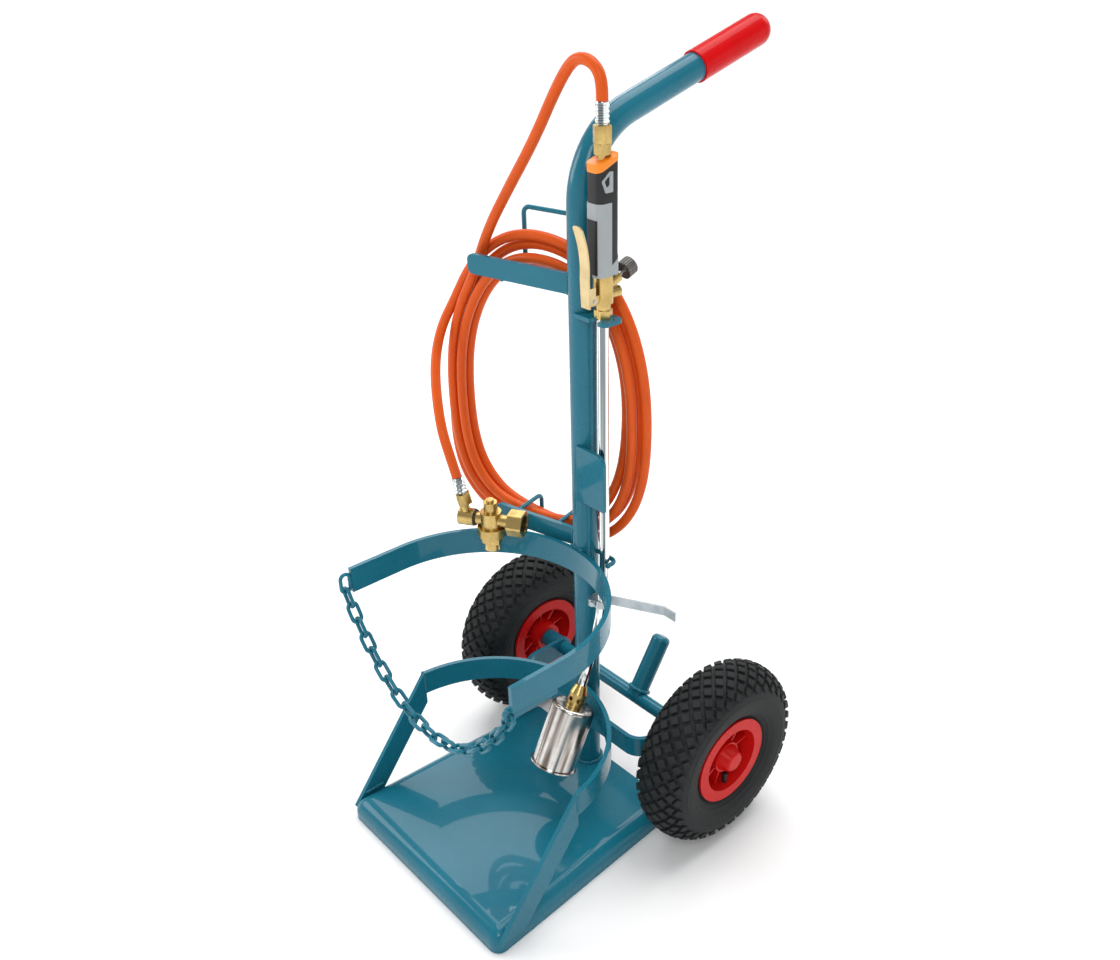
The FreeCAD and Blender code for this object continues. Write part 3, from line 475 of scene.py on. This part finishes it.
# Each bead follows the corner where two solids meet.
TRAY_BEAD = 31               # height of the beads on the tray
POST_FRONT = -17.2           # where the hoops meet the post
DIAGONAL_TOP = -166.2        # how far forward the diagonals meet the lower hoop
KICK_LEAN = math.radians(33)
weld("weld_post_foot", ring((0, 0, TRAY_BEAD), (0, 0, 1), 18.2, 0, 360, 24), 2.9)
for name, low, high in (("upper", 363, 395), ("lower", 148, 178)):
    for side in (-1, 1):
        weld(f"weld_{name}_hoop_{'left' if side < 0 else 'right'}",
             [(side * 8, POST_FRONT, low), (side * 8, POST_FRONT, high)])
    weld(f"weld_{name}_hoop_top", [(-9, -15.6, high + 1.5), (9, -15.6, high + 1.5)])
weld("weld_hook_plate", [(160.6, -194, 360.4), (160.6, -252, 360.4)], 2.2)
weld("weld_hook_plate_top", [(157.5, -190, 387), (157.5, -236, 372)], 2.2)
for name, side in (("left", -1), ("right", 1)):
    for where, across in (("top", side * 164.6), ("inside", side * 159.4)):
        weld(f"weld_{name}_diagonal_{where}",
             [(across, DIAGONAL_TOP, 151), (across, DIAGONAL_TOP, 178)], 2.2)
    foot = side * 158.6
    weld(f"weld_{name}_diagonal_foot", [(foot, -280, TRAY_BEAD), (foot, -254, TRAY_BEAD)], 2.4)
kick_way = Vector((0, math.sin(KICK_LEAN), math.cos(KICK_LEAN)))
weld("weld_kick_tube", ring(Vector((38, 58.7, 130)) + kick_way * 12.0, kick_way, 13.6, 0, 360, 20), 2.8)
weld("weld_anchor_link", [(-162, -259, 369), (-162, -259, 386)], 2.6)


# ---- torch handle ------------------------------------------------------------------------------
handle_low, handle_high = [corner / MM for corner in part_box("torch_handle")]
handle_middle = (handle_low + handle_high) / 2
handle_top = 903.0
HANDLE_CORNER = 7.5


def handle_form(name, grow, low, high, cuts, material, replaced=()):
    """A length of the handle's rounded form, grown outwards, cut off beyond each (place, outward) plane."""
    bm = bmesh.new()
    bmesh.ops.create_cube(bm, size=1)
    size = handle_high - handle_low
    bmesh.ops.scale(bm, vec=(size.x + 2 * grow, size.y + 2 * grow, high - low), verts=bm.verts)
    bmesh.ops.translate(bm, vec=(handle_middle.x, handle_middle.y, (low + high) / 2), verts=bm.verts)
    upright = [e for e in bm.edges if abs(e.verts[0].co.z - e.verts[1].co.z) > 1]
    rounded(bm, upright, HANDLE_CORNER + grow, 8)
    for place, outward in cuts:
        whole = bm.verts[:] + bm.edges[:] + bm.faces[:]
        cut = bmesh.ops.bisect_plane(bm, geom=whole, plane_co=place, plane_no=outward, clear_outer=True)
        bmesh.ops.holes_fill(bm, edges=[e for e in cut["geom_cut"] if isinstance(e, bmesh.types.BMEdge)])
    rounded(bm, sharp_edges(bm, 0.9), 0.5)
    bmesh.ops.scale(bm, vec=(MM, MM, MM), verts=bm.verts)
    return finished(bm, name, "trolley", material, replaced, 40)


cap_slope = Vector((0, -0.42, 1))
cap_foot = Vector((0, handle_low.y, 885.5))
cap_crown = Vector((0, handle_low.y, 894.5))
handle_form("torch_handle_body", 0, handle_low.z, handle_top, [(cap_foot, cap_slope)],
            black, ["torch_handle"])
handle_form("torch_handle_cap", 0.6, 880, handle_top + 6,
            [(cap_foot, -cap_slope), (cap_crown, Vector((0, -0.3, 1)))],
            orange, ["torch_end_cap"])
handle_form("torch_handle_brow", 0.85, 834.8, 853, [((39.4, 0, 0), (1, 0, 0)), ((0, -2, 0), (0, 1, 0))],
            grey)
handle_form("torch_handle_toe", 0.85, 771.5, 795,
            [((40, 0, 0), (-1, 0, 0)), ((0, -1.4, 0), (0, -1, 0)), ((0, -1, 783), (0, -0.7, 1))],
            grey)


def eyelet(name, outside, inside, thick):
    """A flat eyelet with rounded corners on the handle's side, between two outlines of (across, height)."""
    bm = bmesh.new()
    edges = []
    for corners in (outside, inside):
        loop = [bm.verts.new((handle_high.x - 0.2, across, height)) for across, height in corners]
        edges += [bm.edges.new((loop[i], loop[i - 1])) for i in range(len(loop))]
    bmesh.ops.bridge_loops(bm, edges=edges)
    raised(bm, bm.faces[:], (thick, 0, 0))
    rounded(bm, [e for e in bm.edges if abs(e.verts[0].co.x - e.verts[1].co.x) > thick / 2], 1.3, 4)
    bmesh.ops.scale(bm, vec=(MM, MM, MM), verts=bm.verts)
    return finished(bm, name, "trolley", grey, crease=40)


eyelet("torch_handle_eyelet",
       [(-15.5, 877.5), (-5.0, 886.5), (0.5, 886.5), (0.5, 864.5), (-10.5, 864.5)],
       [(-12.2, 877.3), (-5.2, 882.5), (-4.6, 882.3), (-4.6, 872.5), (-9.0, 870.0)], 1.2)

# ---- fittings on the hose ----------------------------------------------------------------------
LEAN = math.radians(14)               # the hose comes to the fitting at this lean
FITTING_TURN = math.radians(31)       # the way the union nut faces, from the torch's side
KNOB_RISE = math.radians(22)
FERRULE = 24.0                        # length of a ferrule
FITTING_NUT = 15.0                    # length of the nut that the fitting's ferrule stands on
outward = Vector((math.cos(FITTING_TURN), math.sin(FITTING_TURN), 0))
UP = Vector((0, 0, 1))
lean = outward * -math.sin(LEAN) + UP * math.cos(LEAN)
ferrule_end = Vector((-129.93, -105.79, 484.24)) * MM
fitting_middle = Vector((-92, -83, 427)) * MM
torch_line = Vector((39, -3, 0)) * MM


def crimped_ferrule(name, start, way, node):
    """A swaged sleeve with three crimped waists and a rolled lip."""
    bm = bmesh.new()
    bore, crimped, full = 6.0, 6.9, 7.8
    rings = [(0, bore), (2, bore), (2, 7.1), (2.8, full)]
    for waist in (6.5, 11.5, 16.5):
        rings += [(waist - 1.6, full), (waist - 0.9, crimped), (waist + 0.9, crimped), (waist + 1.6, full)]
    rings += [(20.5, full), (21.2, 7.2), (23.2, 7.5), (FERRULE, 7.2), (FERRULE, bore)]
    lathe(bm, rings, 40)
    seated(bm, start, way)
    return finished(bm, name, "trolley", chrome, [node], 25)


def hose_nut(name, start, way, flats, length, node):
    """A hexagon nut with turned corners, of a width across its flats and a length in millimetres."""
    bm = bmesh.new()
    bmesh.ops.create_circle(bm, cap_ends=True, segments=6, radius=flats / math.sqrt(3) * MM)
    raised(bm, bm.faces[:], (0, 0, length * MM))
    bmesh.ops.bevel(bm, geom=bm.verts[:], affect="VERTICES", offset=1.6 * MM, segments=2, profile=0.5,
                    material=-1)
    rounded(bm, sharp_edges(bm, 0.7), 0.4 * MM)
    seated(bm, start, way)
    return finished(bm, name, "trolley", brass, [node], 30)


crimped_ferrule("torch_ferrule", torch_line + UP * 0.933, UP, "torch_hose_ferrule")
crimped_ferrule("fitting_ferrule", ferrule_end - lean * FERRULE * MM, lean, "fitting_hose_ferrule")
hose_nut("torch_inlet_nut", torch_line + UP * 0.914, UP, 18.5, 19.0, "torch_hose_nut")
hose_nut("fitting_inlet_nut", ferrule_end - lean * (FERRULE + FITTING_NUT) * MM, lean, 18.0, FITTING_NUT,
         "fitting_hose_nut")


def knurled_knob():
    """The gas valve's knob: fine flutes round its edge and a dished end."""
    way = Vector((0, math.cos(KNOB_RISE), math.sin(KNOB_RISE)))
    wide = 11.0
    bm = bmesh.new()
    bmesh.ops.create_circle(bm, cap_ends=True, segments=96, radius=wide * MM)
    for i, v in enumerate(bm.verts):
        if i % 4 == 0:
            v.co *= 0.93
    for height, share in ((1.2, 1.0), (13.5, 1.0), (15.0, 0.9), (15.0, 0.72), (13.6, 0.66)):
        end = [f for f in bm.faces if len(f.verts) > 4][-1:]
        moved = points_of(bmesh.ops.extrude_face_region(bm, geom=end)["geom"])
        reach = max(v.co.xy.length for v in moved)
        for v in moved:
            v.co = Vector((v.co.x * share * wide * MM / reach, v.co.y * share * wide * MM / reach, height * MM))
    seated(bm, torch_line + UP * 0.7555 + way * 0.033, way)
    return finished(bm, "gas_valve_knob", "gas_valve", dark_metal,
                    ["torch_valve_knob"], 30)


knurled_knob()


def union_nut_lining():
    """The shaded wall and seat inside the union nut's mouth."""
    bm = bmesh.new()
    floor_at, mouth = 2.35, 19.0
    outside, inside, hole = 11.9, 11.2, 4.0
    wall = [(floor_at, hole), (floor_at, outside), (mouth, outside), (mouth, inside)]
    seat = [(3.4, inside), (3.4, hole + 1), (4.6, hole)]
    lathe(bm, wall + seat, 40, closed=True)
    seated(bm, fitting_middle + outward * 0.026, outward)
    return finished(bm, "union_nut_lining", "union_nut", shaded_brass, crease=30)


union_nut_lining()

# ---- hose --------------------------------------------------------------------------------------
HOSE = 0.013
SPLAY = math.radians(14)     # the hanger's bar is turned forwards by this much
COIL_MIDDLE = 0.560          # height where the coil is widest
TURN_POINTS = 18
ENTRY = 50.0                 # degrees above the outward direction where the hose joins the coil


def hanger(u, n, z):
    """A point in the hose hanger's directions: out along its bar, back, and up, in metres."""
    along = Vector((-math.cos(SPLAY), -math.sin(SPLAY), 0))
    back = Vector((-math.sin(SPLAY), math.cos(SPLAY), 0))
    return along * u + back * n + Vector((0, 0, z))


for name, low, high in (("upper", 736, 757), ("lower", 392, 413)):
    for side in (-1, 1):
        foot, head = [hanger(0.0178, side * 0.0045, z * MM) / MM for z in (low, high)]
        weld(f"weld_{name}_hanger_{'front' if side < 0 else 'back'}", [foot, head], 2.3)

# Each lane of the coil: its far left, far right, top, bottom and depth behind the hanger's bar.
mid_front = (0.232, -0.054, 0.772, 0.385, 0.0255)
inner_front = (0.2165, -0.0380, 0.7565, 0.3995, 0.0255)
inner_back = (0.2170, -0.0375, 0.7500, 0.3995, 0.0422)
mid_back = (0.233, -0.0535, 0.772, 0.384, 0.0422)
outer_lane = (0.2475, -0.0705, 0.7855, 0.370, 0.0335)
lanes = [mid_front, inner_front, inner_back, mid_back, outer_lane]
# The part of each turn in which the hose goes over to the next lane.
changes = [(0.70, 0.95), (0.50, 0.68), (0.28, 0.46), (0.04, 0.24)]
LAST_TURN = 4.06
CORNER_CUT = 1.01            # the smooth curve runs this much inside its points


def coil_point(turns):
    """The hose's middle after a number of turns round the coil."""
    whole = min(int(turns), len(changes) - 1)
    part = turns - whole
    low, high = changes[whole]
    share = min(1.0, max(0.0, (part - low) / (high - low)))
    share = share * share * (3 - 2 * share)
    left, right, top, bottom, depth = [a + (b - a) * share for a, b in zip(lanes[whole], lanes[whole + 1])]
    angle = math.radians(ENTRY - 360 * turns)
    across, rise = math.cos(angle), math.sin(angle)
    power = (2.3 if across < 0 else 2.0) if rise > 0 else (2.5 if across < 0 else 3.0)
    middle = (left + right) / 2
    reach = (left - right) / 2 * CORNER_CUT
    height = (top - COIL_MIDDLE if rise > 0 else COIL_MIDDLE - bottom) * CORNER_CUT
    return hanger(middle + math.copysign(reach * abs(across) ** (2 / power), across), depth,
                  COIL_MIDDLE + math.copysign(height * abs(rise) ** (2 / power), rise))


top_run = [(39, -3, 957), (39, -3, 977), (29, -3, 991), (12, -4, 997), (-6, -5, 992), (-29, -7, 963),
           (-66, -10, 903), (-108, -15, 845), (-148, -20, 787)]
tail_run = [(-233, -38, 649), (-221, -59, 624), (-203, -77, 599), (-178, -94, 570), (-153, -107, 540)]
route = [Vector(p) * MM for p in top_run]
route += [coil_point(i / TURN_POINTS) for i in range(int(LAST_TURN * TURN_POINTS) + 1)]
route += [Vector(p) * MM for p in tail_run]
route += [ferrule_end + lean * 0.024, ferrule_end]


def tube_along(name, points, diameter):
    """A round tube on one smooth open curve with these control points."""
    curve = bpy.data.curves.new(name, "CURVE")
    curve.dimensions = "3D"
    spline = curve.splines.new("NURBS")
    spline.points.add(len(points) - 1)
    for knot, point in zip(spline.points, points):
        knot.co = (*point, 1.0)
    spline.order_u = 3
    spline.use_endpoint_u = True
    curve.resolution_u = 6
    curve.bevel_depth = diameter / 2
    curve.bevel_resolution = 5
    curve.use_fill_caps = True
    piece = bpy.data.objects.new(name, curve)
    bpy.context.scene.collection.objects.link(piece)
    return piece


hose = tube_along("hose", route, HOSE)
dress(hose, hose_rubber())
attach(hose, "trolley")
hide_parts("hose_top_run", "hose_coil", "hose_tail")

# ---- floor, light and camera -------------------------------------------------------------------
bm = bmesh.new()
bmesh.ops.create_grid(bm, x_segments=1, y_segments=1, size=60, matrix=Matrix.Translation((0, 0, -0.0005)))
floor_mesh = bpy.data.meshes.new("floor")
bm.to_mesh(floor_mesh)
bm.free()
floor = bpy.data.objects.new("floor", floor_mesh)
bpy.context.scene.collection.objects.link(floor)
ground = Finish("pale_floor", roughness=0.9, specular_ior_level=0.05)
near = ground.node("ShaderNodeTexGradient", {"gradient_type": "SPHERICAL"},
                   {"Vector": ground.scaled((0.25, 0.25, 0.25))})
ground.vary("Base Color", ground.mix(near, (1.0, 1.0, 1.0), (0.88, 0.88, 0.88)))
dress(floor, ground.material)


def lamp(name, place, target, size, power):
    """A square soft light at a place, turned to a target."""
    data = bpy.data.lights.new(name, "AREA")
    data.size = size
    data.energy = power
    made = bpy.data.objects.new(name, data)
    made.location = place
    made.rotation_euler = (Vector(target) - Vector(place)).to_track_quat("-Z", "Y").to_euler()
    bpy.context.scene.collection.objects.link(made)


lamp("front_softbox", (1.6, -1.6, 2.4), (0, 0, 0.4), 1.0, 22)
lamp("left_softbox", (-2.0, -1.4, 1.6), (0, 0, 0.5), 1.2, 20)
lamp("back_softbox", (0.2, 2.2, 2.4), (0, 0, 0.5), 1.4, 18)
lamp("window_softbox", (-1.55, 0.75, 1.85), (0, -0.15, 0.05), 0.9, 8)
sun_data = bpy.data.lights.new("ceiling_light", "SUN")
sun_data.energy = 2.0
sun_data.angle = math.radians(50)
sun = bpy.data.objects.new("ceiling_light", sun_data)
sun.rotation_euler = (math.radians(-14), math.radians(-10), 0)
bpy.context.scene.collection.objects.link(sun)

# The studio is white where the camera sees it. Its light comes more from round about than from overhead.
world = bpy.data.worlds.new("studio")
bpy.context.scene.world = world
world.use_nodes = True
air = world.node_tree
direction = air.nodes.new("ShaderNodeTexCoord")
parts = air.nodes.new("ShaderNodeSeparateXYZ")
height = air.nodes.new("ShaderNodeValToRGB")
air.links.new(direction.outputs["Generated"], parts.inputs[0])
air.links.new(parts.outputs["Z"], height.inputs[0])
rays = air.nodes.new("ShaderNodeLightPath")
seen = air.nodes.new("ShaderNodeMix")
seen.data_type = "RGBA"
seen.inputs[7].default_value = (1, 1, 1, 1)
air.links.new(rays.outputs["Is Camera Ray"], seen.inputs[0])
air.links.new(height.outputs[0], seen.inputs[6])
air.links.new(seen.outputs[2], air.nodes["Background"].inputs[0])
height.color_ramp.elements.new(0.5)
for element, (place, shade) in zip(height.color_ramp.elements, ((0.1, 1.0), (0.42, 0.3), (1.0, 0.5))):
    element.position = place
    element.color = (shade, shade, shade, 1)

FRAME_WIDTH = 1120
camera_data = bpy.data.cameras.new("camera")
camera = bpy.data.objects.new("camera", camera_data)
bpy.context.scene.collection.objects.link(camera)
camera.location = (0.91816, -0.81825, 1.16098)
camera.rotation_euler = (math.radians(90 - 29.247), 0, math.radians(46.592))
camera_data.sensor_width = 36
camera_data.lens = 36 * 1101.57 / FRAME_WIDTH
camera_data.shift_x = -53.68 / FRAME_WIDTH
camera_data.shift_y = 12.78 / FRAME_WIDTH
bpy.context.scene.camera = camera
bpy.context.scene.view_settings.view_transform = "Standard"
